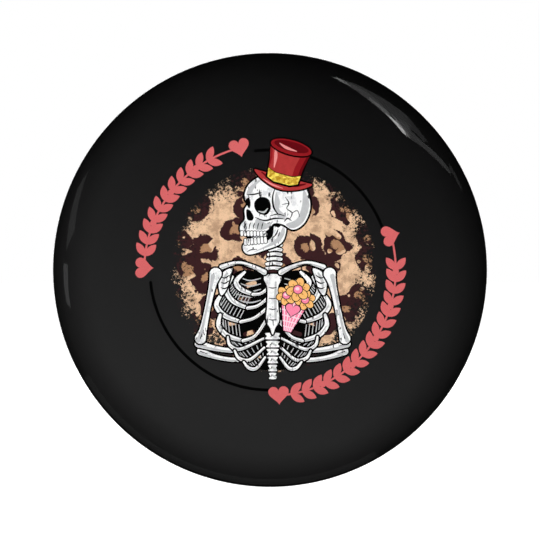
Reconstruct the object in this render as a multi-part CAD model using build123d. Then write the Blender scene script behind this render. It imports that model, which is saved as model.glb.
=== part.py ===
"""Pin-back button badge, 58 mm: a printed, film-covered tinplate dome with a brooch pin on its back.

All lengths are in millimetres. The badge is drawn as it is worn: +Z is up, the picture faces -Y, and +X is to
the right of somebody who looks at the picture. The rear of the rolled rim lies in the plane y = 0, and the
origin is the middle of that rim.
"""
from build123d import *
import math
import os

# ---- face: film over paper over tinplate, all wrapped round one rolled rim ----
BADGE_R = 29.0
CROWN_R = 300.0
SHOULDER_R = 4.8
WALL_H = 0.2
ROLL_R = 0.8
ROLL_FLAT = 0.4
TUCK_H = 1.0
FILM_T = 0.075
PAPER_T = 0.12
TIN_T = 0.22

# ---- back plate: a shallow dish whose lip is caught under the tucked edge ----
PANEL_Y = -1.0
DISH_BEND = 0.4
LIP_W = 0.6
BEAD_R = 21.8
BEAD_HALF_W = 0.9
BEAD_H = 0.35

# ---- brooch bar and its two rivets, above the middle so that the badge hangs upright ----
PIN_Z = 6.0
BAR_T = 0.4
BAR_HALF_W = 2.25
BAR_END_HALF_W = 1.25
BAR_CATCH_X = 18.0
BAR_CORNER_R = 0.8
RIVET_X = 8.0
RIVET_R = 0.8
RIVET_HEAD_R = 1.4
RIVET_HEAD_H = 0.5
CLINCH_R = 1.3
CLINCH_H = 0.3

# ---- needle and hinge ----
NEEDLE_Y = 2.0
NEEDLE_R = 0.4
HINGE_X = -15.5
EYE_R = 1.1
EYE_HALF_W = 0.8
ROOT_R = 0.62
ROOT_END_X = -13.3
TAPER_X = 12.0
TIP_X = 17.0
TIP_R = 0.06
SIDE_PLAY = 0.05
EAR_R = 1.2
EAR_T = 0.4
HINGE_PIN_R = 0.5
HINGE_CLEARANCE = 0.05
HINGE_HEAD_R = 0.9
HINGE_HEAD_H = 0.35
STOP_GAP = 0.2
STOP_TOP_Y = 3.9

# ---- roll-over safety catch: angles are measured about +X from +Y towards +Z ----
CATCH_X0 = 13.0
CATCH_X1 = 16.0
TUMBLER_BORE_R = 0.95
TUMBLER_R = 1.4
TUMBLER_CLEARANCE = 0.05
HOUSING_R = 1.9
NEEDLE_SLOT_DEG = (-30.0, 30.0)
TUMBLER_WINDOW_DEG = (-36.0, 36.0)
TAB_WINDOW_DEG = (-44.0, 84.0)
TAB_DEG = 60.0
TAB_R = 3.1
TAB_T = 0.5
TAB_HALF_W = 0.8
TAB_WINDOW_HALF_W = 0.85
NECK_HALF_X = 1.1
NECK_HALF_Z = 0.7
FOOT_HALF = 1.2
FOOT_T = 0.3

# ---- derived ----
SHOULDER_Y = -(ROLL_R + WALL_H)
CROWN_SPAN = math.degrees(math.asin((BADGE_R - SHOULDER_R) / (CROWN_R - SHOULDER_R)))
CROWN_Y = SHOULDER_Y + (CROWN_R - SHOULDER_R) * math.cos(math.radians(CROWN_SPAN))
TUCK_R = BADGE_R - 2 * ROLL_R - ROLL_FLAT
TUCK_Y = -(ROLL_R + TUCK_H)
BAR_Y = PANEL_Y + BAR_T
EAR_Z = EYE_HALF_W + SIDE_PLAY
STOP_X = HINGE_X - EAR_R - STOP_GAP - EAR_T
CATCH_X = (CATCH_X0 + CATCH_X1) / 2


def wrap_path(depth):
    """Draw dome, wall, rolled rim and tuck, as (radius, y), at a depth below the film's outer surface."""
    roll_x = BADGE_R - ROLL_R
    CenterArc((0, CROWN_Y), CROWN_R - depth, -90, CROWN_SPAN)
    CenterArc((BADGE_R - SHOULDER_R, SHOULDER_Y), SHOULDER_R - depth, CROWN_SPAN - 90, 90 - CROWN_SPAN)
    Line((BADGE_R - depth, SHOULDER_Y), (BADGE_R - depth, -ROLL_R))
    CenterArc((roll_x, -ROLL_R), ROLL_R - depth, 0, 90)
    Line((roll_x, -depth), (roll_x - ROLL_FLAT, -depth))
    CenterArc((roll_x - ROLL_FLAT, -ROLL_R), ROLL_R - depth, 90, 90)
    Line((TUCK_R + depth, -ROLL_R), (TUCK_R + depth, TUCK_Y))


def face_layer(depth, thickness):
    """One sheet of the face, from a depth inwards."""
    apex_y = CROWN_Y - CROWN_R
    with BuildPart() as layer:
        with BuildSketch(Plane.XY):
            with BuildLine():
                wrap_path(depth)
                Line((TUCK_R + depth, TUCK_Y), (TUCK_R + depth + thickness, TUCK_Y))
                wrap_path(depth + thickness)
                Line((0, apex_y + depth), (0, apex_y + depth + thickness))
            make_face()
        revolve(axis=Axis.Y)
    return layer.part


def bead_arc(y):
    """The stiffening bead's section on a panel surface at y."""
    ThreePointArc((BEAD_R - BEAD_HALF_W, y), (BEAD_R, y + BEAD_H), (BEAD_R + BEAD_HALF_W, y))


def plate_dish():
    """The back plate without its rivet holes: panel, bead, turned-down wall and outward lip."""
    front_y = PANEL_Y - TIN_T
    wall_x = TUCK_R - TIN_T
    lip_y = TUCK_Y - TIN_T
    bend_x = TUCK_R - DISH_BEND
    with BuildPart() as dish:
        with BuildSketch(Plane.XY):
            with BuildLine():
                Line((0, PANEL_Y), (BEAD_R - BEAD_HALF_W, PANEL_Y))
                bead_arc(PANEL_Y)
                Line((BEAD_R + BEAD_HALF_W, PANEL_Y), (bend_x, PANEL_Y))
                CenterArc((bend_x, PANEL_Y - DISH_BEND), DISH_BEND, 0, 90)
                Line((TUCK_R, PANEL_Y - DISH_BEND), (TUCK_R, TUCK_Y))
                Line((TUCK_R, TUCK_Y), (TUCK_R + LIP_W, TUCK_Y))
                Line((TUCK_R + LIP_W, TUCK_Y), (TUCK_R + LIP_W, lip_y))
                Line((TUCK_R + LIP_W, lip_y), (wall_x, lip_y))
                Line((wall_x, lip_y), (wall_x, PANEL_Y - DISH_BEND))
                CenterArc((bend_x, PANEL_Y - DISH_BEND), DISH_BEND - TIN_T, 0, 90)
                Line((bend_x, front_y), (BEAD_R + BEAD_HALF_W, front_y))
                bead_arc(front_y)
                Line((BEAD_R - BEAD_HALF_W, front_y), (0, front_y))
                Line((0, front_y), (0, PANEL_Y))
            make_face()
        revolve(axis=Axis.Y)
    return dish.part


def rod_y(x, z, radius, y0, y1):
    """A round rod along Y."""
    return Pos(x, (y0 + y1) / 2, z) * Rot(90, 0, 0) * Cylinder(radius, y1 - y0)


def rod_x(radius, x0, x1):
    """A round rod along X on the needle's axis."""
    return Pos((x0 + x1) / 2, NEEDLE_Y, PIN_Z) * Rot(0, 90, 0) * Cylinder(radius, x1 - x0)


def cone_x(radius0, radius1, x0, x1):
    """A cone along X on the needle's axis, from radius0 at x0 to radius1 at x1."""
    return Pos((x0 + x1) / 2, NEEDLE_Y, PIN_Z) * Rot(0, 90, 0) * Cone(radius0, radius1, x1 - x0)


def rod_z(radius, z0, z1):
    """A round rod along Z on the hinge axis, between two heights above the needle."""
    return Pos(HINGE_X, NEEDLE_Y, PIN_Z + (z0 + z1) / 2) * Cylinder(radius, z1 - z0)


def block(x0, x1, y0, y1, z0, z1):
    """A box between two corners; z is measured from the needle's height."""
    centre = Pos((x0 + x1) / 2, (y0 + y1) / 2, PIN_Z + (z0 + z1) / 2)
    return centre * Box(x1 - x0, y1 - y0, z1 - z0)


def rivet_shanks(y0, y1):
    """The two rivet shanks between two depths."""
    return rod_y(-RIVET_X, PIN_Z, RIVET_R, y0, y1) + rod_y(RIVET_X, PIN_Z, RIVET_R, y0, y1)


def back_plate():
    """The dish with its two rivet holes."""
    return plate_dish() - rivet_shanks(PANEL_Y - 2 * TIN_T, PANEL_Y + TIN_T)


def bar_strip():
    """The flat strip: wide over the rivets, narrow under the hinge and the catch."""
    neck_x = HINGE_X + EAR_R + BAR_HALF_W - BAR_END_HALF_W
    half = [
        (STOP_X, BAR_END_HALF_W),
        (HINGE_X + EAR_R, BAR_END_HALF_W),
        (neck_x, BAR_HALF_W),
        (BAR_CATCH_X, BAR_HALF_W),
    ]
    outline = half + [(x, -z) for x, z in reversed(half)]
    with BuildPart() as strip:
        with BuildSketch(Plane.XZ.offset(-PANEL_Y)):
            with Locations((0, PIN_Z)):
                Polygon(*outline, align=None)
        extrude(amount=-BAR_T)
        corners = strip.edges().filter_by(Axis.Y).group_by(Axis.X)
        fillet(corners[-1] + corners[-2], BAR_CORNER_R)
    return strip.part


def hinge_ear():
    """The upper ear: folded up from the strip's edge, round at the hinge axis."""
    z0 = EAR_Z
    z1 = EAR_Z + EAR_T
    upright = block(HINGE_X - EAR_R, HINGE_X + EAR_R, PANEL_Y, NEEDLE_Y, z0, z1)
    return upright + rod_z(EAR_R, z0, z1)


def pin_bar():
    """Strip, two hinge ears and the folded end that stops the open needle."""
    ear = hinge_ear()
    lower_ear = mirror(ear, about=Plane.XY.offset(PIN_Z))
    stop = block(STOP_X, STOP_X + EAR_T, PANEL_Y, STOP_TOP_Y, -BAR_END_HALF_W, BAR_END_HALF_W)
    bar = bar_strip() + ear + lower_ear + stop
    bar -= rod_z(HINGE_PIN_R, -2 * EAR_Z, 2 * EAR_Z)
    return bar - rivet_shanks(PANEL_Y - BAR_T, BAR_Y + BAR_T)


def bar_rivet(x):
    """One rivet: low domed head on the bar, shank, clinched end inside the badge."""
    head_y = BAR_Y + RIVET_HEAD_H
    clinch_y = PANEL_Y - TIN_T
    head = rod_y(x, PIN_Z, RIVET_HEAD_R, BAR_Y, head_y)
    head = fillet(head.edges().group_by(Axis.Y)[-1], 0.8 * RIVET_HEAD_H)
    shank = rod_y(x, PIN_Z, RIVET_R, clinch_y, BAR_Y)
    clinch = rod_y(x, PIN_Z, CLINCH_R, clinch_y - CLINCH_H, clinch_y)
    clinch = chamfer(clinch.edges().group_by(Axis.Y)[0], 0.5 * CLINCH_H)
    return head + shank + clinch


def hinge_rivet():
    """The hinge pin, headed on the outside of both ears."""
    outer = EAR_Z + EAR_T
    tip = outer + HINGE_HEAD_H
    pin = rod_z(HINGE_PIN_R, -outer, outer) + rod_z(HINGE_HEAD_R, outer, tip)
    pin += rod_z(HINGE_HEAD_R, -tip, -outer)
    rims = pin.edges().filter_by(GeomType.CIRCLE).group_by(Axis.Z)
    return fillet(rims[0] + rims[-1], 0.6 * HINGE_HEAD_H)


def pin_needle():
    """Rolled eye, thick root, round shank and ground point."""
    eye = rod_z(EYE_R, -EYE_HALF_W, EYE_HALF_W)
    root = cone_x(ROOT_R, NEEDLE_R, HINGE_X, ROOT_END_X)
    shank = rod_x(NEEDLE_R, ROOT_END_X, TAPER_X)
    point = cone_x(NEEDLE_R, TIP_R, TAPER_X, TIP_X)
    bore = rod_z(HINGE_PIN_R + HINGE_CLEARANCE, -2 * EYE_HALF_W, 2 * EYE_HALF_W)
    return eye + root + shank + point - bore


def around_needle(degrees, radius):
    """The (y, z) of a point at an angle and radius about the needle's axis."""
    angle = math.radians(degrees)
    return (NEEDLE_Y + radius * math.cos(angle), PIN_Z + radius * math.sin(angle))


def wedge(span, x0, x1):
    """A sector of a disc about the needle's axis, wide enough to cut the catch through."""
    reach = 2 * HOUSING_R
    middle = sum(span) / 2
    with BuildPart() as cutter:
        with BuildSketch(Plane.YZ.offset(x0)):
            with BuildLine():
                Line((NEEDLE_Y, PIN_Z), around_needle(span[0], reach))
                ThreePointArc(
                    around_needle(span[0], reach), around_needle(middle, reach), around_needle(span[1], reach)
                )
                Line(around_needle(span[1], reach), (NEEDLE_Y, PIN_Z))
            make_face()
        extrude(amount=x1 - x0)
    return cutter.part


def catch_housing():
    """Fixed sleeve with a slot for the needle and a wider window for the tab, on a neck and foot."""
    bore_r = TUMBLER_R + TUMBLER_CLEARANCE
    neck_top_y = NEEDLE_Y - (bore_r + HOUSING_R) / 2
    foot_y = BAR_Y + FOOT_T
    housing = rod_x(HOUSING_R, CATCH_X0, CATCH_X1)
    housing += block(
        CATCH_X - NECK_HALF_X, CATCH_X + NECK_HALF_X, foot_y, neck_top_y, -NECK_HALF_Z, NECK_HALF_Z
    )
    housing += block(CATCH_X - FOOT_HALF, CATCH_X + FOOT_HALF, BAR_Y, foot_y, -FOOT_HALF, FOOT_HALF)
    housing -= rod_x(bore_r, CATCH_X0 - 1, CATCH_X1 + 1)
    housing -= wedge(NEEDLE_SLOT_DEG, CATCH_X0 - 1, CATCH_X1 + 1)
    return housing - wedge(TAB_WINDOW_DEG, CATCH_X - TAB_WINDOW_HALF_W, CATCH_X + TAB_WINDOW_HALF_W)


def catch_tumbler():
    """Turning sleeve with a window for the needle and a thumb tab."""
    mid_r = (TUMBLER_BORE_R + TUMBLER_R) / 2
    tab = Box(2 * TAB_HALF_W, TAB_R - mid_r, TAB_T)
    tab = fillet(tab.edges().filter_by(Axis.Z).group_by(Axis.Y)[-1], 0.4 * TAB_HALF_W)
    tab = Pos(CATCH_X, NEEDLE_Y, PIN_Z) * Rot(TAB_DEG, 0, 0) * Pos(0, (TAB_R + mid_r) / 2, 0) * tab
    sleeve = rod_x(TUMBLER_R, CATCH_X0, CATCH_X1) - rod_x(TUMBLER_BORE_R, CATCH_X0 - 1, CATCH_X1 + 1)
    return sleeve - wedge(TUMBLER_WINDOW_DEG, CATCH_X0 - 1, CATCH_X1 + 1) + tab


NODES = {
    "clear_film": face_layer(0, FILM_T),
    "printed_paper": face_layer(FILM_T, PAPER_T),
    "front_shell": face_layer(FILM_T + PAPER_T, TIN_T),
    "back_plate": back_plate(),
    "pin_bar": pin_bar(),
    "bar_rivets": Compound(children=[bar_rivet(-RIVET_X), bar_rivet(RIVET_X)]),
    "hinge_rivet": hinge_rivet(),
    "pin_needle": pin_needle(),
    "catch_housing": catch_housing(),
    "catch_tumbler": catch_tumbler(),
}

os.makedirs("parts", exist_ok=True)
for name, shape in NODES.items():
    export_step(shape, "parts/" + name + ".step")
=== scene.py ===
"""Looks of the pin-back button badge: printed face under clear film, tinplate back and brooch pin.

Drawing dimensions are in millimetres, and become metres where a mesh is made. The print is drawn as flat
outlines (x, z) as somebody who faces the badge sees it, and laid on the dome.
"""
import math

import bpy
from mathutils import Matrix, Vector
from mathutils.geometry import delaunay_2d_cdt

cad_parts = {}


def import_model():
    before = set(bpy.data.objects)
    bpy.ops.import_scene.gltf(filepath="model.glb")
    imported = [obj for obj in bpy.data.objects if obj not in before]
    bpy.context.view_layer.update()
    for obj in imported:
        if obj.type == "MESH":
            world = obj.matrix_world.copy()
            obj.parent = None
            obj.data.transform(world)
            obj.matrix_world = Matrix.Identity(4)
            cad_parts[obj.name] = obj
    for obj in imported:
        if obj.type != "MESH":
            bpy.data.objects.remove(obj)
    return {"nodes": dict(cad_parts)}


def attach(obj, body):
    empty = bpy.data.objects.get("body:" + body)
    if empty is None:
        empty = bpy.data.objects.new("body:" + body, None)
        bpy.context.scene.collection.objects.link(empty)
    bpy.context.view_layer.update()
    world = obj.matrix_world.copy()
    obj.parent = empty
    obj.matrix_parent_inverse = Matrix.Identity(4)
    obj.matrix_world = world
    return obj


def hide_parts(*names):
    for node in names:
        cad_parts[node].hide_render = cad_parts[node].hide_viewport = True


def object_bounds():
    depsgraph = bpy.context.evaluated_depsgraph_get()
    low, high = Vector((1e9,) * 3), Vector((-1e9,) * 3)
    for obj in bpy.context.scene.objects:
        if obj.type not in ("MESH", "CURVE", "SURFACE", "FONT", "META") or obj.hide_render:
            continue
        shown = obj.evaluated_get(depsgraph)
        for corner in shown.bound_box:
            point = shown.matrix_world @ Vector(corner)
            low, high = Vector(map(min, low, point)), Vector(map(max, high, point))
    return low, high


MM = 0.001

# ---- the face's sheets, as in the CAD ----
BADGE_R = 29.0
CROWN_R = 300.0  # radius of the nearly flat crown
SHOULDER_R = 4.8
WALL_H = 0.2  # straight wall between the shoulder and the rolled rim
ROLL_R = 0.8
ROLL_FLAT = 0.4  # flat of the rim's rear, between its two round edges
TUCK_H = 1.0  # how far the sheets' ends stand into the rim
FILM_T = 0.075
PAPER_T = 0.12
FILM_INNER = 0.05  # depth of the film's inner face, which leaves room for the ink
INK_LIFT = 0.012  # height of the ink above the paper

# ---- layout of the print; angles in degrees, counter-clockwise from the right ----
KEYLINE = 0.22  # black outline round a shape
FINE_KEYLINE = 0.15
HAIR_KEYLINE = 0.1
RING_R = 15.8
RING_W = 0.4
RING_ARCS = ((21.0, 97.0), (186.0, 269.0))
GARLAND_R = 16.55
GARLAND_ARCS = ((179.0, 104.0, -90.0), (-86.0, 16.0, 90.0))  # start, end, and turn of the end hearts
LEAF_STEP = 1.55
LEAF_LEAN = 38.0
PATCH = (0.45, 0.1, 13.6, 13.6)  # middle x and z, half width, half height
AXIS_X = 0.35  # the figure's middle line
SKULL = (0.4, 8.0)
SKULL_TILT = 0.0
JAW_HINGE = (0.9, -1.7)  # in the skull's own drawing
JAW_DROP = 5.0
HAT = (1.5, 11.3)
HAT_TILT = -15.0
HAT_H = 5.0
POSY = (3.2, -4.3)
POSY_TILT = -14.0
GRID_HALF = 20  # half width of the net of points, 1 mm apart, that lets the print follow the dome
GRID_SKEW = (0.013, -0.017)  # keeps the net's rows off the drawing's straight edges

# ---- studio ----
FRAME_SHARE = 0.8054  # badge's diameter over the frame's width, at the shoulder's depth
CARD_REACH = 420.0  # how far from the shoulder the glowing cards stand

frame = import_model()
cad_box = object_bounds()

SHOULDER_Y = -(ROLL_R + WALL_H)
CROWN_SPAN = math.asin((BADGE_R - SHOULDER_R) / (CROWN_R - SHOULDER_R))
CROWN_Y = SHOULDER_Y + (CROWN_R - SHOULDER_R) * math.cos(CROWN_SPAN)


# ---------------------------------------------------------------- lathe-turned sheets
def arc(cx, cy, radius, start, sweep, steps):
    """Points on an arc, angles in radians from +radius towards +y."""
    angles = [start + sweep * i / steps for i in range(steps + 1)]
    return [(cx + radius * math.cos(a), cy + radius * math.sin(a)) for a in angles]


def wrap_path(depth):
    """(radius, y) down the dome, round the shoulder and the rolled rim, to the end of the tuck."""
    quarter = math.pi / 2
    roll_x = BADGE_R - ROLL_R
    tuck_x = roll_x - ROLL_FLAT - ROLL_R
    path = arc(0, CROWN_Y, CROWN_R - depth, -quarter, CROWN_SPAN, 24)
    path += arc(
        BADGE_R - SHOULDER_R, SHOULDER_Y, SHOULDER_R - depth, CROWN_SPAN - quarter, quarter - CROWN_SPAN, 40
    )[1:]
    path += arc(roll_x, -ROLL_R, ROLL_R - depth, 0, quarter, 10)
    path += arc(roll_x - ROLL_FLAT, -ROLL_R, ROLL_R - depth, quarter, quarter, 10)
    path.append((tuck_x + depth, -(ROLL_R + TUCK_H)))
    return path


def mesh_object(name, verts_mm, faces, material):
    """A smooth-shaded object from millimetre coordinates."""
    mesh = bpy.data.meshes.new(name)
    mesh.from_pydata([tuple(c * MM for c in v) for v in verts_mm], [], faces)
    mesh.validate()
    for polygon in mesh.polygons:
        polygon.use_smooth = True
    mesh.materials.append(material)
    made = bpy.data.objects.new(name, mesh)
    bpy.context.collection.objects.link(made)
    return made


def lathe(name, outer, inner, material, segments=288):
    """A closed sheet turned about Y from an outer and an inner path, both starting on the axis."""
    profile = outer + inner[::-1]
    verts = []
    rings = []
    for radius, y in profile:
        if radius < 1e-6:
            rings.append([len(verts)] * segments)
            verts.append((0.0, y, 0.0))
            continue
        rings.append(list(range(len(verts), len(verts) + segments)))
        for i in range(segments):
            turn = 2 * math.pi * i / segments
            verts.append((radius * math.cos(turn), y, radius * math.sin(turn)))
    faces = []
    for here, there in zip(rings, rings[1:]):
        for i in range(segments):
            j = (i + 1) % segments
            corners = [here[i], here[j], there[j], there[i]]
            faces.append(list(dict.fromkeys(corners)))
    return mesh_object(name, verts, faces, material)


# ---------------------------------------------------------------- outlines
def spline(points, closed, steps=5):
    """A smooth line through the points, which may carry a third number such as a half width."""
    count = len(points)
    line = []
    for i in range(count if closed else count - 1):
        if closed:
            four = [points[(i + k - 1) % count] for k in range(4)]
        else:
            four = [points[min(max(i + k - 1, 0), count - 1)] for k in range(4)]
        for s in range(steps):
            t = s / steps
            line.append(
                tuple(
                    b + 0.5 * t * (c - a + t * (2 * a - 5 * b + 4 * c - d + t * (3 * (b - c) + d - a)))
                    for a, b, c, d in zip(*four)
                )
            )
    if not closed:
        line.append(tuple(points[-1]))
    return line


def counter_clockwise(loop):
    """The loop, turned round if it runs clockwise."""
    area = sum(a[0] * b[1] - b[0] * a[1] for a, b in zip(loop, loop[1:] + loop[:1]))
    return loop if area > 0 else loop[::-1]


def normals(line, closed):
    """The unit vector to the right of the line at each of its points."""
    last = len(line) - 1
    out = []
    for i in range(len(line)):
        before = line[i - 1] if closed or i > 0 else line[0]
        after = line[(i + 1) % len(line)] if closed or i < last else line[last]
        dx, dz = after[0] - before[0], after[1] - before[1]
        length = math.hypot(dx, dz)
        out.append((dz / length, -dx / length))
    return out


def blob(points, grow=0.0):
    """A smooth closed shape through the points."""
    loop = counter_clockwise(spline(points, closed=True))
    return [(x + nx * grow, z + nz * grow) for (x, z), (nx, nz) in zip(loop, normals(loop, True))]


def panel(points, grow=0.0):
    """A straight-sided closed shape."""
    loop = counter_clockwise(points)
    return [(x + nx * grow, z + nz * grow) for (x, z), (nx, nz) in zip(loop, normals(loop, True))]


def limb(points, grow=0.0):
    """A round-ended stroke along (x, z, half width) points."""
    line = spline(points, closed=False)
    side = normals(line, False)
    right = [(x + nx * (w + grow), z + nz * (w + grow)) for (x, z, w), (nx, nz) in zip(line, side)]
    left = [(x - nx * (w + grow), z - nz * (w + grow)) for (x, z, w), (nx, nz) in zip(line, side)]

    def cap(end, normal):
        x, z, w = end
        start = math.atan2(normal[1], normal[0])
        turns = [start + math.pi * k / 6 for k in range(1, 6)]
        return [(x + (w + grow) * math.cos(a), z + (w + grow) * math.sin(a)) for a in turns]

    back = (-side[0][0], -side[0][1])
    return right + cap(line[-1], side[-1]) + left[::-1] + cap(line[0], back)


def oval(spec, grow=0.0):
    """An ellipse from (x, z, half width, half height, tilt in degrees)."""
    x, z, half_w, half_h, tilt = spec
    steps = 28
    loop = []
    for i in range(steps):
        a = 2 * math.pi * i / steps
        loop.append(turned((half_w + grow) * math.cos(a), (half_h + grow) * math.sin(a), x, z, tilt))
    return loop


def turned(u, v, x, z, tilt):
    """Local (u, v), turned by tilt degrees and moved to (x, z)."""
    c, s = math.cos(math.radians(tilt)), math.sin(math.radians(tilt))
    return (x + u * c - v * s, z + u * s + v * c)


def laid(points, place, tilt):
    """Points of a part drawn upright, turned by tilt degrees and moved; half widths stay."""
    return [(*turned(p[0], p[1], *place, tilt), *p[2:]) for p in points]


def heart(spec, grow=0.0):
    """A heart from (x, z, width, tilt in degrees)."""
    x, z, width, tilt = spec
    k = (width + 2 * grow) / 32
    loop = []
    for i in range(36):
        a = 2 * math.pi * (i + 0.5) / 36
        u = 16 * math.sin(a) ** 3
        v = 13 * math.cos(a) - 5 * math.cos(2 * a) - 2 * math.cos(3 * a) - math.cos(4 * a)
        loop.append(turned(u * k, (v + 2) * k, x, z, tilt))
    return counter_clockwise(loop)


def leaf(spec, grow=0.0):
    """A pointed leaf from (x, z of its foot, length, half width, direction in degrees)."""
    x, z, length, half_w, tilt = spec
    steps = 10
    shares = [i / steps for i in range(steps)]
    edge = [(length * t, (half_w + grow) * math.sin(math.pi * t) ** 0.8) for t in shares]
    edge += [(length - u, -v) for u, v in edge]
    return counter_clockwise([turned(u, v, x, z, tilt) for u, v in edge])


# ---------------------------------------------------------------- the drawing, in painter's order
drawing = []


def paint(ink, shape, spec, keyline=0.0):
    """Adds a shape on top of what is already drawn, over its own black outline if it has one."""
    if keyline:
        drawing.append(("line", shape(spec, keyline)))
    drawing.append((ink, shape(spec)))


def beside(points, side=1):
    """Points given by their distance from the figure's middle line, put on one side of it."""
    return [(AXIS_X + side * p[0], *p[1:]) for p in points]


def paint_pair(ink, shape, points, keyline=0.0):
    """A shape on both sides of the figure's middle line."""
    for side in (1, -1):
        paint(ink, shape, beside(points, side), keyline)


def at_angle(radius, degrees):
    """The (x, z) of a point on a circle round the badge's middle."""
    a = math.radians(degrees)
    return (radius * math.cos(a), radius * math.sin(a))


def draw_ring():
    """Two thin black arcs; the hat covers part of the first."""
    for start, end in RING_ARCS:
        steps = 24
        angles = [start + (end - start) * i / steps for i in range(steps + 1)]
        paint("ring", limb, [(*at_angle(RING_R, a), RING_W / 2) for a in angles])


def draw_garland():
    """Two coral laurel sprigs with berries and end hearts, on two arcs round the figure."""
    for start, end, upright in GARLAND_ARCS:
        count = round(abs(math.radians(end - start)) * GARLAND_R / LEAF_STEP)
        step = (end - start) / count
        ahead = math.copysign(90, step)
        stem = [start + step * i / 2 for i in range(2 * count + 1)]
        paint("coral", limb, [(*at_angle(GARLAND_R, a), 0.13) for a in stem])
        for i in range(1, count - 2):
            angle = start + step * i
            x, z = at_angle(GARLAND_R, angle)
            for lean in (-LEAF_LEAN, LEAF_LEAN):
                paint("coral", leaf, (x, z, 2.1, 0.5, angle + ahead + lean))
            if i % 3 == 0:
                paint("coral", oval, (*at_angle(GARLAND_R, angle + 0.9 * step), 0.42, 0.42, 0))
        for angle in (start, end):
            paint("coral", heart, (*at_angle(GARLAND_R, angle), 2.7, angle + upright))


def draw_patch():
    """The animal-print patch behind the figure; its worn edge is in the ink."""
    x, z, half_w, half_h = PATCH
    paint("leopard", oval, (x, z, half_w, half_h, 0))


# (distance from the middle line, z) along each rib, from its outer end to the front
RIBS = (
    [(3.7, -0.3), (4.8, -1.5), (4.2, -2.5), (2.6, -3.2)],
    [(5.3, -0.9), (6.1, -2.6), (5.2, -4.1), (3.3, -5.0)],
    [(6.6, -3.0), (7.4, -4.6), (6.3, -6.0), (4.2, -6.8)],
    [(6.9, -5.9), (7.1, -7.3), (6.0, -8.6), (3.9, -9.3)],
    [(5.9, -8.8), (5.6, -9.9), (4.2, -10.4), (1.2, -9.0)],
    [(5.0, -10.6), (4.4, -11.6), (3.0, -11.8), (1.1, -10.2)],
    [(3.8, -12.1), (3.1, -12.9), (2.1, -12.9), (1.0, -11.5)],
)
TRUE_RIBS = 4  # the upper ones, which gristle ties to the breastbone


def draw_chest():
    """The rib cage: dark inside, with back ribs, cross strokes, and the print showing through."""
    cavity = [(1.2, -0.3), (4.4, -0.1), (6.6, -2.4), (7.2, -6.2), (6.0, -9.8), (3.5, -12.5), (0.8, -13.2)]
    paint("line", blob, beside(cavity) + beside(cavity, -1)[::-1])
    gaps = ((2.9, -1.9, 0.32), (3.7, -3.9, 0.38), (5.0, -6.9, 0.3), (3.1, -8.3, 0.28), (2.3, -11.6, 0.22))
    for x, z, w in gaps:
        paint_pair("leopard", limb, [(x - 0.5, z + 0.15, w), (x + 0.5, z - 0.15, w)])
    for i in range(6):
        z = -1.1 - 0.72 * i
        paint_pair("shade", limb, [(1.6, z, 0.06), (3.0, z - 0.3, 0.09), (4.2 + 0.2 * i, z + 0.1, 0.05)])
    for near, far in zip(RIBS, RIBS[1:]):
        for a, b in list(zip(spline(near, False), spline(far, False)))[1:-1]:
            paint_pair("shade", limb, [(*a, 0.05), (*b, 0.07)])
    for i, rib in enumerate(RIBS):
        bold = 0.3 if i < TRUE_RIBS else 0.2
        widths = (0.6 * bold, bold, bold, 0.7 * bold)
        paint_pair("bone", limb, [(*p, w) for p, w in zip(rib, widths)], KEYLINE)
        paint_pair("shade", limb, [(x - 0.06, z - 0.4 * bold, 0.3 * bold) for x, z in rib[1:]])


def draw_spine():
    """The lower back bones, seen below the breastbone."""
    for i in range(6):
        z = -8.7 - 1.05 * i
        half_w = 0.9 - 0.09 * i
        body = [
            (-half_w, 0.4), (half_w, 0.4), (half_w - 0.14, 0),
            (half_w, -0.38), (-half_w, -0.38), (0.14 - half_w, 0),
        ]
        paint("bone", blob, [(AXIS_X + x, z + v) for x, v in body], FINE_KEYLINE)
        paint("shade", limb, [(AXIS_X - 0.1, z + 0.15, 0.12), (AXIS_X + 0.4, z - 0.15, 0.14)])
        paint("line", limb, [(AXIS_X - 0.25, z - 0.1, 0.05), (AXIS_X - 0.1, z + 0.1, 0.05)])


def draw_breastbone():
    """The breastbone, and the gristle that ties the true ribs to it."""
    for i, rib in enumerate(RIBS[:TRUE_RIBS]):
        x, z = rib[-1]
        gristle = [(x, z, 0.2), ((x + 0.6) / 2, z + 0.1 + 0.2 * i, 0.18), (0.6, -2.4 - 1.25 * i, 0.2)]
        paint_pair("bone", limb, gristle, FINE_KEYLINE)
        paint_pair("shade", limb, [(u, v - 0.08, 0.07) for u, v, _ in gristle])
    side = [(0.8, -0.6), (1.15, -1.2), (0.7, -2.3), (0.72, -4.6), (0.85, -6.6), (0.35, -7.6)]
    outline = beside(side) + beside([(0.0, -8.5)]) + beside(side, -1)[::-1]
    paint("bone", blob, outline, KEYLINE)
    paint("shade", limb, beside([(0.4, -1.6, 0.12), (0.36, -4.0, 0.16), (0.4, -6.6, 0.14)]))
    for z in (-2.3, -3.7, -5.1, -6.5):
        paint("line", limb, beside([(-0.5, z, 0.04), (0.0, z - 0.08, 0.07), (0.5, z, 0.04)]))


def draw_neck():
    """Neck bones, from the collar up behind the jaw."""
    for i in range(8):
        z = 0.2 + 0.62 * i
        half_w = 1.1 - 0.05 * i
        x = 0.45 + 0.06 * i
        body = [
            (-half_w, 0.12), (0, 0.26), (half_w, 0.12),
            (half_w - 0.1, -0.22), (0, -0.1), (0.1 - half_w, -0.22),
        ]
        paint("bone", blob, [(x + u, z + v) for u, v in body], 0.12)
        paint("shade", limb, [(x + 0.3, z + 0.05, 0.07), (x + 0.8 * half_w, z, 0.08)])


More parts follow.
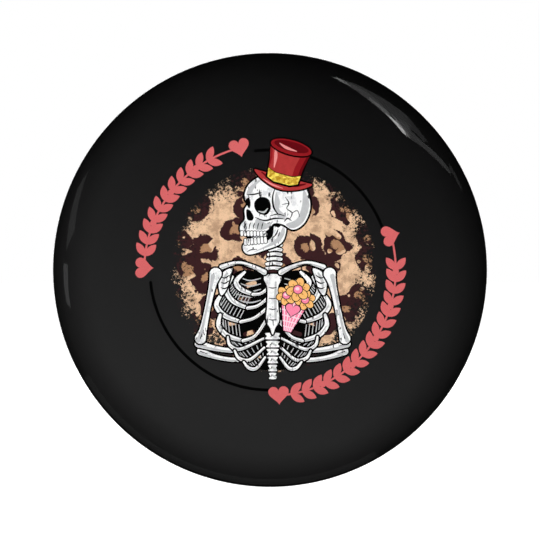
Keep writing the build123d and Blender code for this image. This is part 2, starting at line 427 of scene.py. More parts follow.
def draw_collar():
    """Shoulder blades and collar bones."""
    blade = [(5.3, 0.2), (6.5, -0.3), (7.1, -1.7), (6.8, -3.3), (6.1, -2.6), (5.6, -1.0)]
    paint_pair("bone", blob, blade, KEYLINE)
    paint_pair("shade", limb, [(6.0, -0.4, 0.12), (6.5, -1.4, 0.2), (6.6, -2.5, 0.1)])
    for z in (-0.7, -1.4, -2.1):
        paint_pair("line", limb, [(5.7, z, 0.05), (6.3, z - 0.35, 0.09), (6.8, z - 0.2, 0.04)])
    bone = [(1.1, -0.3, 0.34), (2.6, 0.45, 0.24), (4.6, 0.95, 0.22), (6.7, 0.4, 0.3)]
    paint_pair("bone", limb, bone, KEYLINE)
    paint_pair("shade", limb, [(x, z - 0.5 * w, 0.35 * w) for x, z, w in bone])
    paint_pair("line", limb, [(3.1, 0.5, 0.04), (4.2, 0.75, 0.06), (5.2, 0.7, 0.03)])


def on_posy(points):
    """Posy drawing points, flowers at the top, turned and moved into place."""
    return laid(points, POSY, POSY_TILT)


def draw_blossom(x, z, size):
    """Six veined petals round a pink eye."""
    for k in range(6):
        turn = 60 * k + 15
        u, v = turned(size * 0.66, 0, 0, 0, turn)
        paint("amber", oval, (x + u, z + v, size * 0.5, size * 0.4, turn), HAIR_KEYLINE)
        paint("toffee", limb, [(x + 0.4 * u, z + 0.4 * v, 0.05), (x + u, z + v, 0.09)])
    paint("pink", oval, (x, z, size * 0.42, size * 0.4, 0), HAIR_KEYLINE)
    paint("blush", oval, (x - 0.08, z + 0.1, size * 0.2, size * 0.16, 0))


def draw_posy():
    """A posy pinned to the breast: three blossoms in a checked wrap with a heart."""
    wrap = [(-1.8, 0.2), (1.8, 0.2), (0.5, -3.9), (-0.5, -3.9)]
    paint("pink", panel, on_posy(wrap), KEYLINE)
    for k in (-0.8, -0.4, 0.0, 0.4, 0.8):
        paint("blush", limb, on_posy([(1.7 * k, 0.1, 0.09), (0.5 * k, -3.8, 0.06)]))
    for z in (-0.5, -1.2, -1.9, -2.6, -3.3):
        half = 1.7 + 0.32 * z
        paint("blush", limb, on_posy([(-half, z, 0.08), (half, z, 0.08)]))
    for x, z, size in ((-1.25, 0.7, 1.15), (1.3, 0.7, 1.15), (0.05, 1.8, 1.35)):
        draw_blossom(*on_posy([(x, z)])[0], size)
    paint("pink", heart, (*on_posy([(0.0, -1.1)])[0], 1.9, POSY_TILT), FINE_KEYLINE)


def draw_long_bones(bones):
    """Bones on both sides, each with a shaded edge and a crack at its far end."""
    for bone in bones:
        paint_pair("bone", limb, bone, KEYLINE)
        paint_pair("shade", limb, [(x + 0.45 * w, z - 0.4 * w, 0.38 * w) for x, z, w in bone])
        (x, z, w), (next_x, next_z, _) = bone[-1], bone[-2]
        paint_pair("line", limb, [(x, z, 0.07), ((x + next_x) / 2, (z + next_z) / 2, 0.03)])


def draw_forearms():
    """Forearms that run behind the rib cage, as the hands are held behind the back."""
    radius = [(2.6, -11.7, 0.3), (5.2, -11.8, 0.26), (7.6, -11.4, 0.28), (9.5, -10.7, 0.46)]
    ulna = [(2.6, -10.5, 0.3), (5.2, -10.6, 0.28), (7.6, -10.3, 0.32), (9.8, -9.7, 0.46)]
    draw_long_bones((radius, ulna))


def draw_upper_arms():
    """Upper arms, hanging from the shoulders."""
    upper = [(7.5, -0.5, 0.8), (7.9, -2.0, 0.46), (8.5, -4.8, 0.36), (9.1, -7.7, 0.46), (9.5, -9.0, 0.72)]
    draw_long_bones((upper,))


def on_skull(points):
    """Skull drawing points, with the face to the left, turned and moved into place."""
    return laid(points, SKULL, SKULL_TILT)


def on_jaw(points):
    """Points of the closed jaw, let down a little on its hinge."""
    x, z = JAW_HINGE
    return on_skull(laid([(p[0] - x, p[1] - z, *p[2:]) for p in points], JAW_HINGE, JAW_DROP))


def draw_teeth(placed, foot, tip, count, drop):
    """A row of small teeth between two points of the gum."""
    for i in range(count):
        t = i / (count - 1)
        x, z = (a + (b - a) * t for a, b in zip(foot, tip))
        paint("bone", limb, placed([(x, z, 0.2), (x, z + drop, 0.17)]), 0.09)


def draw_jaw():
    """The dark between the jaws, and the lower jaw."""
    mouth = [(-3.6, -3.0), (-0.9, -2.6), (0.9, -1.9), (0.4, -4.4), (-1.4, -5.4), (-2.7, -5.0)]
    paint("line", blob, on_skull(mouth))
    paint("shade", limb, on_jaw([(-3.3, -3.9, 0.3), (-2.2, -3.5, 0.34), (-1.2, -3.1, 0.3)]), HAIR_KEYLINE)
    jaw = [
        (1.5, -1.7), (1.6, -3.0), (0.8, -4.5), (-1.4, -5.2), (-3.4, -5.6), (-4.2, -5.0),
        (-4.0, -4.1), (-2.6, -4.2), (-1.0, -4.0), (-0.2, -3.4), (0.1, -2.2), (0.7, -2.4),
    ]
    paint("bone", blob, on_jaw(jaw), KEYLINE)
    under = [(1.3, -2.3), (1.4, -3.2), (0.5, -4.3), (-1.2, -4.9), (-2.8, -5.3), (-0.9, -4.5), (0.5, -3.6)]
    paint("shade", blob, on_jaw(under))
    paint("line", limb, on_jaw([(-0.1, -3.6, 0.05), (0.3, -3.2, 0.09), (0.6, -2.6, 0.04)]))
    paint("line", oval, (*on_jaw([(-2.9, -4.8)])[0], 0.11, 0.11, 0))
    paint("line", limb, on_jaw([(-3.7, -5.2, 0.04), (-3.2, -5.0, 0.07), (-2.4, -5.0, 0.03)]))
    draw_teeth(on_jaw, (-3.85, -4.15), (-1.2, -4.1), 7, 0.5)


def draw_skull():
    """A plain skull in level side view."""
    head = [
        (-3.75, 1.6), (-3.2, 3.2), (-1.3, 4.45), (1.5, 4.6), (4.0, 3.2), (4.9, 0.6), (4.2, -1.7),
        (2.7, -2.7), (1.3, -2.0), (0.1, -1.9), (-0.8, -2.8), (-2.4, -3.2), (-4.1, -3.0),
        (-4.3, -2.2), (-3.7, -1.3), (-3.75, -0.1), (-3.35, 0.7),
    ]
    paint("bone", blob, on_skull(head), KEYLINE + 0.04)
    back = [(4.0, 2.6), (4.75, 0.7), (4.1, -1.5), (2.7, -2.5), (1.7, -2.0), (3.1, -1.3), (3.8, 0.4)]
    paint("shade", blob, on_skull(back))
    paint("shade", blob, on_skull([(0.4, 2.2), (0.9, 1.0), (0.8, 0.0), (1.7, -0.9), (0.8, -1.2), (0.2, 0.2)]))
    paint("shade", blob, on_skull([(-3.5, 2.0), (-2.9, 3.1), (-1.3, 4.1), (-2.3, 3.1), (-2.9, 2.0)]))
    paint("shade", blob, on_skull([(-2.2, -1.3), (-0.8, -1.9), (0.0, -1.6), (-0.9, -2.6), (-2.3, -2.6)]))
    near_eye = [(-2.4, 1.0), (-1.6, 1.6), (-0.6, 1.3), (-0.3, 0.2), (-0.8, -0.7), (-1.8, -0.6), (-2.4, 0.1)]
    paint("line", blob, on_skull(near_eye))
    paint("shade", limb, on_skull([(-1.9, -0.25, 0.04), (-1.2, -0.4, 0.13), (-0.7, 0.1, 0.05)]))
    paint("line", blob, on_skull([(-3.6, 1.2), (-3.2, 1.5), (-2.95, 0.8), (-3.1, 0.1), (-3.4, 0.5)]))
    paint("line", blob, on_skull([(-3.5, -0.1), (-3.0, -0.2), (-2.55, -1.0), (-2.8, -1.5), (-3.4, -1.3)]))
    for stroke in (
        [(-3.4, 1.9, 0.05), (-2.5, 1.95, 0.1), (-1.5, 2.2, 0.04)],
        [(0.3, 2.9, 0.04), (-0.05, 1.6, 0.1), (0.1, 0.2, 0.12), (0.7, -0.7, 0.05)],
        [(-2.3, -1.1, 0.05), (-1.1, -1.5, 0.1), (0.3, -1.2, 0.1), (1.5, -1.3, 0.04)],
        [(-0.4, -0.9, 0.04), (0.6, -0.65, 0.08), (1.6, -0.9, 0.03)],
        [(1.6, 1.6, 0.03), (2.1, 0.8, 0.08), (1.8, 0.1, 0.05), (2.5, -0.5, 0.08), (2.2, -1.3, 0.03)],
        [(2.1, 0.8, 0.05), (1.2, 0.6, 0.03)],
        [(2.5, -0.5, 0.05), (3.2, -0.2, 0.06), (3.5, -1.0, 0.03)],
        [(1.5, -1.6, 0.05), (1.9, -1.2, 0.1), (2.4, -1.5, 0.04)],
    ):
        paint("line", limb, on_skull(stroke))
    for x in (-3.7, -3.15, -2.6, -2.05, -1.5):
        paint("line", limb, on_skull([(x, -2.6, 0.03), (x + 0.08, -2.1, 0.07), (x + 0.2, -1.8, 0.03)]))
    draw_teeth(on_skull, (-4.1, -3.05), (-1.1, -3.1), 8, -0.32)


def on_hat(points):
    """Hat drawing points, brim at the bottom, turned and moved into place."""
    return laid(points, HAT, HAT_TILT)


def draw_hat():
    """A red top hat with a gold band, set a little askew."""
    brim = [(-3.9, 0.9), (-2.4, -0.15), (0.0, -0.75), (2.4, -0.15), (3.9, 0.9), (2.8, 1.0), (-2.8, 1.0)]
    paint("red", blob, on_hat(brim), KEYLINE)
    hollow = [(-2.9, 0.85, 0.08), (-1.2, 0.25, 0.22), (1.6, 0.25, 0.22), (3.1, 0.85, 0.08)]
    paint("red_deep", limb, on_hat(hollow))
    paint("red_light", limb, on_hat([(-2.5, 0.05, 0.04), (-1.2, -0.36, 0.12), (0.3, -0.48, 0.04)]))
    side = [(2.1, 0.45), (2.25, 2.6), (2.75, HAT_H)]
    crown = [(-1.1, 0.05), *[(-x, z) for x, z in side], *side[::-1], (1.1, 0.05)]
    paint("red", panel, on_hat(crown), KEYLINE)
    paint("red_dark", panel, on_hat([(1.0, 0.1), *side, (1.6, HAT_H - 0.4), (1.15, 2.6)]))
    paint("red_deep", panel, on_hat([(1.7, 0.3), *side, (2.4, HAT_H - 0.2), (1.9, 2.6)]))
    paint("red_dark", limb, on_hat([(-2.15, 1.9, 0.08), (-2.25, 3.4, 0.12), (-2.6, HAT_H - 0.4, 0.08)]))
    paint("red_light", limb, on_hat([(-1.5, 1.9, 0.06), (-1.65, 3.3, 0.22), (-1.95, HAT_H - 0.6, 0.1)]))
    band = [
        (-2.05, 0.5), (-2.2, 1.65), (-1.1, 1.25), (1.1, 1.25),
        (2.2, 1.65), (2.05, 0.5), (1.1, 0.1), (-1.1, 0.1),
    ]
    paint("gold", panel, on_hat(band), HAIR_KEYLINE)
    paint("red_dark", oval, (*on_hat([(0.0, HAT_H)])[0], 2.75, 0.95, HAT_TILT), KEYLINE)
    paint("red_deep", oval, (*on_hat([(0.0, HAT_H + 0.12)])[0], 2.35, 0.66, HAT_TILT))
    shine = [(-1.6, 0.15, 0.05), (-0.6, -0.2, 0.19), (0.8, -0.32, 0.06)]
    paint("red_light", limb, on_hat([(x, HAT_H + z, w) for x, z, w in shine]))


def draw_all():
    """The whole print, from the back to the front."""
    draw_patch()
    draw_ring()
    draw_forearms()
    draw_chest()
    draw_spine()
    draw_breastbone()
    draw_neck()
    draw_collar()
    draw_upper_arms()
    draw_posy()
    draw_garland()
    draw_jaw()
    draw_skull()
    draw_hat()


# ---------------------------------------------------------------- materials
def node(material, kind, inputs=None, **settings):
    """Adds a shader node; an input may be a number, a colour, a socket, or a node's first output."""
    made = material.node_tree.nodes.new("ShaderNode" + kind)
    for key, value in settings.items():
        setattr(made, key, value)
    for key, value in (inputs or {}).items():
        if isinstance(value, bpy.types.Node):
            value = value.outputs[0]
        if isinstance(value, bpy.types.NodeSocket):
            material.node_tree.links.new(value, made.inputs[key])
        else:
            made.inputs[key].default_value = value
    return made


def calc(material, operation, a, b=0.0, c=0.0):
    """One arithmetic step."""
    return node(material, "Math", {0: a, 1: b, 2: c}, operation=operation)


def mix(material, factor, a, b):
    """The colour a, turning to b as factor goes to 1."""
    made = node(material, "Mix", {0: factor, 6: a, 7: b}, data_type="RGBA")
    return made.outputs[2]


def step_up(material, value, low, high):
    """0 below low, 1 above high, smooth between."""
    limits = {"Value": value, "From Min": low, "From Max": high}
    return node(material, "MapRange", limits, interpolation_type="SMOOTHSTEP").outputs[0]


def surface(name, colour, roughness, metallic=0.0, **sockets):
    """A material with one Principled shader; returns it and the shader."""
    material = bpy.data.materials.new(name)
    material.use_nodes = True
    shader = material.node_tree.nodes["Principled BSDF"]
    shader.inputs["Base Color"].default_value = (*colour, 1.0)
    shader.inputs["Roughness"].default_value = roughness
    shader.inputs["Metallic"].default_value = metallic
    for key, value in sockets.items():
        shader.inputs[key.replace("_", " ")].default_value = value
    return material, shader


def plug(material, socket, value):
    """Links a value into a shader socket."""
    if isinstance(value, bpy.types.Node):
        value = value.outputs[0]
    material.node_tree.links.new(value, socket)


def millimetres(material, stretch=(1.0, 1.0, 1.0)):
    """The place on the object in millimetres, stretched along each axis."""
    place = node(material, "TexCoord").outputs["Object"]
    return node(material, "VectorMath", {0: place, 1: tuple(s / MM for s in stretch)}, operation="MULTIPLY")


def noise(material, place, scale, detail=2.0, roughness=0.5):
    """Noise of about one unit per 1/scale millimetres."""
    return node(
        material, "TexNoise", {"Vector": place, "Scale": scale, "Detail": detail, "Roughness": roughness}
    ).outputs[0]


def bump(material, height, distance_mm, strength):
    """A normal from a height pattern."""
    return node(material, "Bump", {"Height": height, "Distance": distance_mm * MM, "Strength": strength})


def paper_grain(material, shader):
    """The print's faint tooth, and its slightly uneven gloss."""
    place = millimetres(material)
    fibre = noise(material, place, 3.0, 3.0)
    plug(material, shader.inputs["Normal"], bump(material, fibre, 0.003, 0.3))
    rough = node(material, "MapRange", {"Value": fibre, "To Min": 0.45, "To Max": 0.5})
    plug(material, shader.inputs["Roughness"], rough)


def ink(name, colour, mottle=0.04):
    """A printed colour, slightly uneven, on paper."""
    material, shader = surface(name, colour, 0.45, Specular_IOR_Level=0.0)
    place = millimetres(material)
    cloud = noise(material, place, 1.4, 4.0, 0.6)
    light = tuple(min(1.0, c * (1 + mottle)) for c in colour)
    dark = tuple(c * (1 - 2 * mottle) for c in colour)
    plug(material, shader.inputs["Base Color"], mix(material, cloud, (*dark, 1.0), (*light, 1.0)))
    paper_grain(material, shader)
    return material


def bone_ink():
    """White bone with a patchy grey wash and short upright pen strokes."""
    material, shader = surface("bone_ink", (0.87, 0.87, 0.865), 0.45, Specular_IOR_Level=0.0)
    place = millimetres(material)
    wash = step_up(material, noise(material, place, 0.8, 4.0, 0.7), 0.5, 0.62)
    pen = step_up(material, noise(material, millimetres(material, (2.6, 1.0, 0.8)), 1.0, 3.0, 0.6), 0.6, 0.63)
    washed = mix(material, wash, (0.88, 0.88, 0.875, 1.0), (0.66, 0.665, 0.675, 1.0))
    strokes = calc(material, "MULTIPLY", pen, step_up(material, noise(material, place, 0.5, 2.0), 0.44, 0.5))
    plug(material, shader.inputs["Base Color"], mix(material, strokes, washed, (0.06, 0.06, 0.065, 1.0)))
    paper_grain(material, shader)
    return material


def black_with_painted_light(material, place):
    """The ground's black with painted light and shade: a painted light gradient, greyer towards the lower
    left, and painted shade that darkens it round the shoulder towards the rim.
    """
    # painted light: a gradient that makes the black greyer towards the lower left
    towards = {0: place, 1: (-0.342, 0.0, -0.94)}
    down = node(material, "VectorMath", towards, operation="DOT_PRODUCT").outputs["Value"]
    share = node(material, "MapRange", {"Value": down, "From Min": -BADGE_R, "From Max": 0.66 * BADGE_R})
    grey = mix(material, share, (0.0022, 0.0022, 0.0023, 1.0), (0.019, 0.019, 0.019, 1.0))
    # painted shade: the black darkens from 0.82 of the radius out to the rim, over the shoulder
    flat = node(material, "VectorMath", {0: place, 1: (1.0, 0.0, 1.0)}, operation="MULTIPLY")
    radius = node(material, "VectorMath", {0: flat}, operation="LENGTH").outputs["Value"]
    rim = node(
        material,
        "MapRange",
        {"Value": radius, "From Min": 0.82 * BADGE_R, "From Max": BADGE_R, "To Max": 0.55},
    )
    return mix(material, rim, grey, (0.0, 0.0, 0.0, 1.0))


def black_paper():
    """The printed sheet's black ground, with painted light and shade in its colour."""
    material, shader = surface("black_paper", (0.012, 0.012, 0.012), 0.5, Specular_IOR_Level=0.0)
    plug(material, shader.inputs["Base Color"], black_with_painted_light(material, millimetres(material)))
    paper_grain(material, shader)
    return material


def rosettes(material, place):
    """How much a place is in the dark ring of a rosette, and how much in its brown middle."""
    sway = node(material, "TexNoise", {"Vector": place, "Scale": 0.42, "Detail": 2.0}).outputs["Color"]
    bent = node(
        material, "VectorMath", {0: sway, 1: (2.6, 2.6, 0.0), 2: place}, operation="MULTIPLY_ADD"
    )
    cells = {"Vector": bent, "Scale": 0.24, "Randomness": 0.7}
    cell = node(material, "TexVoronoi", cells, voronoi_dimensions="2D").outputs["Distance"]
    fur = calc(material, "MULTIPLY_ADD", noise(material, place, 3.4, 4.0, 0.75), 0.2, -0.1)
    distance = calc(material, "ADD", cell, fur)
    inside = step_up(material, distance, 0.13, 0.155)
    outside = step_up(material, distance, 0.455, 0.435)
    gaps = step_up(material, noise(material, place, 0.5, 1.0), 0.4, 0.415)
    ring = calc(material, "MULTIPLY", calc(material, "MULTIPLY", inside, outside), gaps)
    return ring, step_up(material, distance, 0.3, 0.26)


def worn_away(material, place, parts):
    """How much the patch has flaked off: a ragged edge, and specks all over."""
    x, z, half_w, half_h = PATCH
    across = calc(material, "DIVIDE", calc(material, "SUBTRACT", parts["X"], x), half_w)
    along = calc(material, "DIVIDE", calc(material, "SUBTRACT", parts["Z"], z), half_h)
    squares = calc(
        material, "ADD", calc(material, "MULTIPLY", across, across), calc(material, "MULTIPLY", along, along)
    )
    reach = calc(material, "SQRT", squares)
    lobes = calc(material, "MULTIPLY", noise(material, place, 0.36, 2.0), 0.42)
    flakes = calc(material, "MULTIPLY", noise(material, place, 2.6, 6.0, 0.8), 1.1)
    edge = calc(material, "ADD", reach, calc(material, "ADD", lobes, flakes))
    specks = step_up(material, noise(material, place, 2.6, 4.0, 0.85), 0.63, 0.65)
    return calc(material, "MAXIMUM", step_up(material, edge, 1.645, 1.665), specks)


def leopard_ink():
    """Tan ground, broken dark rosettes with brown middles, and an edge worn away to the black."""
    material, shader = surface("leopard_ink", (0.7, 0.45, 0.24), 0.45, Specular_IOR_Level=0.0)
    whole = millimetres(material)
    parts = node(material, "SeparateXYZ", {0: whole}).outputs
    place = node(material, "CombineXYZ", {0: parts["X"], 1: parts["Z"]})
    ring, middle = rosettes(material, place)
    stain = step_up(material, noise(material, place, 0.6, 5.0, 0.75), 0.42, 0.62)
    tan = mix(material, stain, (0.76, 0.51, 0.325, 1.0), (0.46, 0.29, 0.18, 1.0))
    shadow = noise(material, place, 1.6, 4.0, 0.7)
    brown = mix(material, shadow, (0.5, 0.28, 0.15, 1.0), (0.27, 0.14, 0.075, 1.0))
    coat = mix(material, ring, mix(material, middle, tan, brown), (0.04, 0.014, 0.015, 1.0))
    bare = worn_away(material, place, parts)
    # the worn places show the ground's black, with its painted light and shade
    plug(material, shader.inputs["Base Color"], mix(material, bare, coat, black_with_painted_light(material, whole)))
    paper_grain(material, shader)
    return material


def glitter_ink():
    """Gold with fine bright and dark flecks."""
    material, shader = surface("gold_ink", (0.76, 0.48, 0.03), 0.4, Specular_IOR_Level=0.0)
    fleck = node(material, "TexVoronoi", {"Vector": millimetres(material), "Scale": 3.2}).outputs["Color"]
    value = node(material, "SeparateColor", {0: fleck}).outputs[0]
    colour = mix(material, value, (0.42, 0.22, 0.012, 1.0), (0.95, 0.78, 0.13, 1.0))
    plug(material, shader.inputs["Base Color"], colour)
    paper_grain(material, shader)
    return material


def clear_film():
    """Clear film: it mirrors a few percent of what it faces and lets the rest through."""
    material, _ = surface("clear_film", (1.0, 1.0, 1.0), 0.045, 1.0, Alpha=0.035)
    return material


def rolled_tin():
    """Bright tinplate: long rolling lines, cloudy patches and thin upright scuffs."""
    material, shader = surface("tinplate", (0.72, 0.72, 0.7), 0.3, 1.0)
    lines = noise(material, millimetres(material, (0.03, 1.0, 1.6)), 1.0, 7.0, 0.8)
    cloud = noise(material, millimetres(material), 0.16, 4.0, 0.6)
    streaks = noise(material, millimetres(material, (2.4, 1.0, 0.16)), 1.0, 2.0)
    scuffs = step_up(material, streaks, 0.7, 0.76)
    tone = calc(material, "MULTIPLY", calc(material, "ADD", lines, cloud), 0.5)
    colour = mix(material, tone, (0.40, 0.40, 0.385, 1.0), (0.93, 0.93, 0.91, 1.0))
    plug(material, shader.inputs["Base Color"], mix(material, scuffs, colour, (0.84, 0.84, 0.83, 1.0)))
    rough = node(material, "MapRange", {"Value": tone, "To Min": 0.22, "To Max": 0.4})
    plug(material, shader.inputs["Roughness"], rough)
    plug(material, shader.inputs["Normal"], bump(material, lines, 0.02, 0.4))
    return material


def plated(name, light, dark, low, high, stretch=(1.0, 1.0, 1.0)):
    """A plated or polished metal: cloudy tone and gloss, and fine marks."""
    material, shader = surface(name, light, low, 1.0)
    cloud = noise(material, millimetres(material, stretch), 0.7, 4.0, 0.6)
    marks = noise(material, millimetres(material, stretch), 6.0, 2.0)
    plug(material, shader.inputs["Base Color"], mix(material, cloud, (*dark, 1.0), (*light, 1.0)))
    rough = node(material, "MapRange", {"Value": cloud, "To Min": low, "To Max": high})
    plug(material, shader.inputs["Roughness"], rough)
    plug(material, shader.inputs["Normal"], bump(material, marks, 0.003, 0.2))
    return material


def floor_white():
    """A plain pale floor."""
    material, shader = surface("floor_white", (0.86, 0.86, 0.86), 0.9, Specular_IOR_Level=0.0)
    shader.inputs["Emission Color"].default_value = (1.0, 1.0, 1.0, 1.0)
    shader.inputs["Emission Strength"].default_value = 0.95
    return material


# ---------------------------------------------------------------- pieces
# each ink's print piece and material
INKS = {
    "line": ("print_lines", ink("line_ink", (0.001, 0.001, 0.001))),
    "ring": ("print_ring", ink("ring_ink", (0.0006, 0.0006, 0.0006))),
    "coral": ("print_band", ink("coral_ink", (0.62, 0.127, 0.13))),
    "leopard": ("print_patch", leopard_ink()),
    "bone": ("print_bones", bone_ink()),
    "shade": ("print_bones", ink("shade_ink", (0.52, 0.525, 0.535), 0.12)),
    "red": ("print_hat", ink("red_ink", (0.42, 0.038, 0.038), 0.15)),
    "red_dark": ("print_hat", ink("red_dark_ink", (0.27, 0.01, 0.014), 0.12)),
    "red_deep": ("print_hat", ink("red_deep_ink", (0.12, 0.003, 0.006), 0.12)),
    "red_light": ("print_hat", ink("red_light_ink", (0.76, 0.26, 0.25))),
    "gold": ("print_hat", glitter_ink()),
    "pink": ("print_posy", ink("pink_ink", (0.9, 0.24, 0.38))),
    "blush": ("print_posy", ink("blush_ink", (0.94, 0.66, 0.74))),
    "amber": ("print_posy", ink("amber_ink", (0.90, 0.50, 0.17), 0.08)),
    "toffee": ("print_posy", ink("toffee_ink", (0.58, 0.26, 0.07), 0.08)),
}


def ink_y(x, z):
    """How far back the ink is at (x, z) on the crown."""
    radius = CROWN_R - FILM_T + INK_LIFT
    return CROWN_Y - math.sqrt(radius * radius - x * x - z * z)


def print_cells():
    """The drawing as cells that don't overlap: their points, and for each print piece its cells and inks."""
    verts, faces = [], []
    for _, outline in drawing:
        faces.append(list(range(len(verts), len(verts) + len(outline))))
        verts += [Vector(p) for p in outline]
    for x in range(-GRID_HALF, GRID_HALF + 1):
        for z in range(-GRID_HALF, GRID_HALF + 1):
            verts.append(Vector((x + GRID_SKEW[0] * z, z + GRID_SKEW[1] * x)))
    points, _, cells, _, _, origins = delaunay_2d_cdt(verts, [], faces, 1, 1e-5, True)
    kept = {}
    for cell, owners in zip(cells, origins):
        if owners:
            piece, ink_material = INKS[drawing[max(owners)][0]]
            kept.setdefault(piece, []).append((cell, ink_material))
    return points, kept


def print_piece(name, points, entries):
    """One piece of the print, laid on the dome, with a material slot for each of its inks."""
    used = sorted({i for cell, _ in entries for i in cell})
    place = {i: k for k, i in enumerate(used)}
    coords = [(points[i].x, ink_y(points[i].x, points[i].y), points[i].y) for i in used]
    slots = [entries[0][1]]
    made = mesh_object(name, coords, [[place[i] for i in cell] for cell, _ in entries], slots[0])
    for polygon, (_, material) in zip(made.data.polygons, entries):
        if material not in slots:
            slots.append(material)
            made.data.materials.append(material)
        polygon.material_index = slots.index(material)
    return made


def face_pieces():
    """The film, the paper and everything printed on it, the film first."""
    film = lathe("clear_film_skin", wrap_path(0), wrap_path(FILM_INNER), clear_film())
    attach(film, "badge")
    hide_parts("clear_film")
    paper = lathe("printed_paper_disc", wrap_path(FILM_T), wrap_path(FILM_T + PAPER_T), black_paper())
    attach(paper, "badge")
    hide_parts("printed_paper")
    draw_all()
    points, kept = print_cells()
    prints = [print_piece(name, points, entries) for name, entries in kept.items()]
    for piece in prints:
        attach(piece, "badge")
    return [film, paper, *prints]


def metal_parts():
    """Finishes for the CAD's own metal parts, with their pressed edges rounded."""
    tin = rolled_tin()
    nickel = plated("nickel_plate", (0.80, 0.77, 0.72), (0.66, 0.63, 0.58), 0.14, 0.3)
    wire = plated("needle_wire", (0.76, 0.76, 0.77), (0.6, 0.6, 0.61), 0.1, 0.24, (0.2, 1.0, 1.0))
    rivet = plated("rivet_wire", (0.78, 0.78, 0.79), (0.6, 0.6, 0.6), 0.25, 0.45)
    brass = plated("brass", (0.74, 0.53, 0.24), (0.5, 0.33, 0.13), 0.2, 0.42)
    finishes = {
        "front_shell": (tin, 0),
        "back_plate": (tin, 0),
        "pin_bar": (nickel, 0.09),
        "bar_rivets": (rivet, 0),
        "hinge_rivet": (rivet, 0),
        "pin_needle": (wire, 0.06),
        "catch_housing": (nickel, 0.07),
        "catch_tumbler": (brass, 0.06),
    }
    for name, (material, round_mm) in finishes.items():
        part = frame["nodes"][name]
        part.material_slots[0].material = material
        if round_mm:
            edge = part.modifiers.new("rounded edges", "BEVEL")
            edge.width = round_mm * MM
            edge.segments = 2
            edge.limit_method = "ANGLE"
            edge.angle_limit = math.radians(40)
            edge.harden_normals = True


# ---------------------------------------------------------------- studio
def floor():
    """A plain floor under the badge, which its gloss and its matt sides don't pick up."""
    low = cad_box[0][2] / MM
    reach = 6000.0
    corners = [(-reach, -reach, low), (reach, -reach, low), (reach, reach, low), (-reach, reach, low)]
    made = mesh_object("floor", corners, [[0, 1, 2, 3]], floor_white())
    made.visible_glossy = False
    made.visible_diffuse = False


def world():
    """White to the camera, pale to matt surfaces and nearly dark to mirrors."""
    made = bpy.data.worlds.new("studio")
    bpy.context.scene.world = made
    made.use_nodes = True
    nodes, links = made.node_tree.nodes, made.node_tree.links
    path = nodes.new("ShaderNodeLightPath").outputs
    strength = nodes.new("ShaderNodeMapRange")
    strength.inputs["To Min"].default_value = 0.22
    strength.inputs["To Max"].default_value = 0.01
    links.new(path["Is Glossy Ray"], strength.inputs["Value"])
    whiten = nodes.new("ShaderNodeMath")
    whiten.operation = "MAXIMUM"
    links.new(path["Is Camera Ray"], whiten.inputs[0])
    links.new(strength.outputs[0], whiten.inputs[1])
    sky = nodes["Background"]
    sky.inputs["Color"].default_value = (1.0, 1.0, 1.0, 1.0)
    links.new(whiten.outputs[0], sky.inputs["Strength"])


def softbox(name, place_mm, size_mm, glow, glossy=False, spared=()):
    """A square light that faces the badge, as bright to look at as glow times white.

    It can show in reflections, and can spare some pieces."""
    data = bpy.data.lights.new(name, "AREA")
    data.size = size_mm * MM
    data.energy = glow * math.pi * data.size**2
    made = bpy.data.objects.new(name, data)
    made.location = Vector(place_mm) * MM
    made.rotation_euler = (-Vector(place_mm)).to_track_quat("-Z", "Y").to_euler()
    made.visible_camera = False
    made.visible_glossy = glossy
    bpy.context.collection.objects.link(made)
    if spared:
        group = bpy.data.collections.new(name + " spares")
        made.light_linking.receiver_collection = group
        for i, piece in enumerate(spared):
            group.objects.link(piece)
            group.collection_objects[i].light_linking.link_state = "EXCLUDE"


def seen_from(around, share, reach):
    """Where a card must be for the camera to see it mirrored at that place on the dome's shoulder.

    The place is a direction round the badge in degrees and a share of its outline's radius, as the camera
    sees them; reach is how far off the card is."""
    a = math.radians(around)
    eye = bpy.context.scene.camera.location / MM
    radius = share * BADGE_R
    # the sight line meets the shoulder in front of the outline's plane, so the radius is found step by step
    for _ in range(4):
        tilt = math.asin((radius - (BADGE_R - SHOULDER_R)) / SHOULDER_R)
        y = SHOULDER_Y - SHOULDER_R * math.cos(tilt)
        radius = share * BADGE_R * (y - eye.y) / (SHOULDER_Y - eye.y)
    place = Vector((radius * math.cos(a), y, radius * math.sin(a)))
    normal = Vector((math.sin(tilt) * math.cos(a), -math.cos(tilt), math.sin(tilt) * math.sin(a)))
    mirrored = (place - eye).normalized().reflect(normal)
    return place + mirrored * reach


def card(name, outline, glow, reach=CARD_REACH):
    """A glowing card that only reflections show, from the outline of its reflection on the shoulder."""
    path = []
    for here, there in zip(outline, outline[1:] + outline[:1]):
        path += [tuple(h + (t - h) * k / 6 for h, t in zip(here, there)) for k in range(6)]
    path.append(tuple(sum(p[i] for p in outline) / len(outline) for i in range(2)))
    count = len(path) - 1
    faces = [[i, (i + 1) % count, count] for i in range(count)]
    material = bpy.data.materials.new(name)
    material.use_nodes = True
    tree = material.node_tree
    emission = tree.nodes.new("ShaderNodeEmission")
    emission.inputs["Strength"].default_value = glow
    tree.links.new(emission.outputs[0], tree.nodes["Material Output"].inputs["Surface"])
    made = mesh_object(name, [seen_from(*p, reach) for p in path], faces, material)
    made.visible_camera = False
    made.visible_diffuse = False
    made.visible_shadow = False


def softboxes(face):
    """Soft frontal light for the colours, and softboxes behind for the metal, which spare the face."""
    softbox("key", (-70, -500, 150), 260, 8.8)
    softbox("fill", (150, -500, 40), 300, 3.4)
    softbox("low", (0, -480, -60), 260, 2.6)
    softbox("back_right", (340, 330, 20), 320, 1.2, glossy=True, spared=face)
    softbox("back_left", (-330, 330, 120), 320, 0.8, glossy=True, spared=face)
    softbox("back_top", (0, 200, 460), 340, 1.3, glossy=True, spared=face)
    softbox("back_low", (120, 380, -280), 300, 0.7, glossy=True, spared=face)
    softbox("back_axis", (0, 480, 60), 120, 8.0, glossy=True, spared=face[1:])


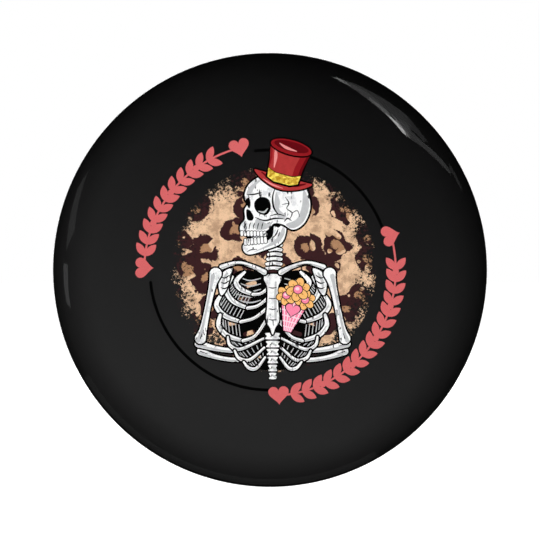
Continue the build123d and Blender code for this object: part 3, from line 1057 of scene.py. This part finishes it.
def gloss_cards():
    """What the shoulder's gloss shows: a window upper right, brightest along its sill, and faint strips."""
    window = [
        (72.5, 0.935), (62, 0.908), (46, 0.878), (44, 0.898),
        (45.5, 0.93), (48, 0.95), (56, 0.946), (65, 0.942),
    ]
    core = [
        (72.5, 0.936), (62, 0.908), (46, 0.879), (44, 0.9),
        (46, 0.922), (50, 0.914), (56, 0.919), (62, 0.934),
    ]
    arm = [
        (46, 0.875), (42, 0.889), (38, 0.903), (32, 0.923), (28, 0.938), (28.5, 0.947),
        (32, 0.942), (35, 0.933), (38, 0.926), (40, 0.916), (42, 0.91), (44, 0.913),
    ]
    corner = [(46.5, 0.92), (48, 0.949), (42, 0.938), (39, 0.936), (40, 0.919), (42, 0.921), (44, 0.918)]
    tip = [(72.5, 0.937), (69, 0.926), (66, 0.923), (68, 0.935)]
    sill = [(60, 0.905), (52, 0.892), (45.5, 0.876), (43, 0.884), (45, 0.895), (51, 0.909), (60, 0.915)]
    edge = [(54, 0.896), (50, 0.887), (45.8, 0.876), (44.6, 0.882), (46, 0.89), (50, 0.898)]
    card("window", window, 0.29)
    card("window_core", core, 0.45, 0.99 * CARD_REACH)
    card("window_arm", arm, 0.34, 0.995 * CARD_REACH)
    card("window_corner", corner, 0.2)
    card("window_tip", tip, 2.2, 0.98 * CARD_REACH)
    card("window_sill", sill, 1.05, 0.97 * CARD_REACH)
    card("window_edge", edge, 4.6, 0.96 * CARD_REACH)
    card("rim", [(30.5, 0.959), (30, 0.948), (24, 0.952), (22, 0.957), (24, 0.962)], 0.18)
    card("left", [(151, 0.952), (168.5, 0.917), (174.5, 0.941), (157, 0.961)], 0.22)
    card("left_strip", [(178, 0.951), (178.5, 0.93), (191, 0.933), (189, 0.949)], 0.45)
    for start in range(-150, -60, 15):
        end = start + 15
        card(f"low_rim_{-start}", [(start, 0.963), (end, 0.963), (end, 0.988), (start, 0.988)], 0.09)


def camera():
    """Square on, long lens, the badge about four fifths of the frame wide."""
    data = bpy.data.cameras.new("camera")
    data.lens = 200.0
    data.sensor_width = 36.0
    made = bpy.data.objects.new("camera", data)
    frame_width = 2 * BADGE_R / FRAME_SHARE
    made.location = (0.0, (SHOULDER_Y - frame_width * data.lens / data.sensor_width) * MM, 0.0)
    made.rotation_euler = (math.pi / 2, 0.0, 0.0)
    bpy.context.collection.objects.link(made)
    bpy.context.scene.camera = made


camera()
world()
floor()
softboxes(face_pieces())
gloss_cards()
metal_parts()
bpy.context.scene.view_settings.view_transform = "Standard"
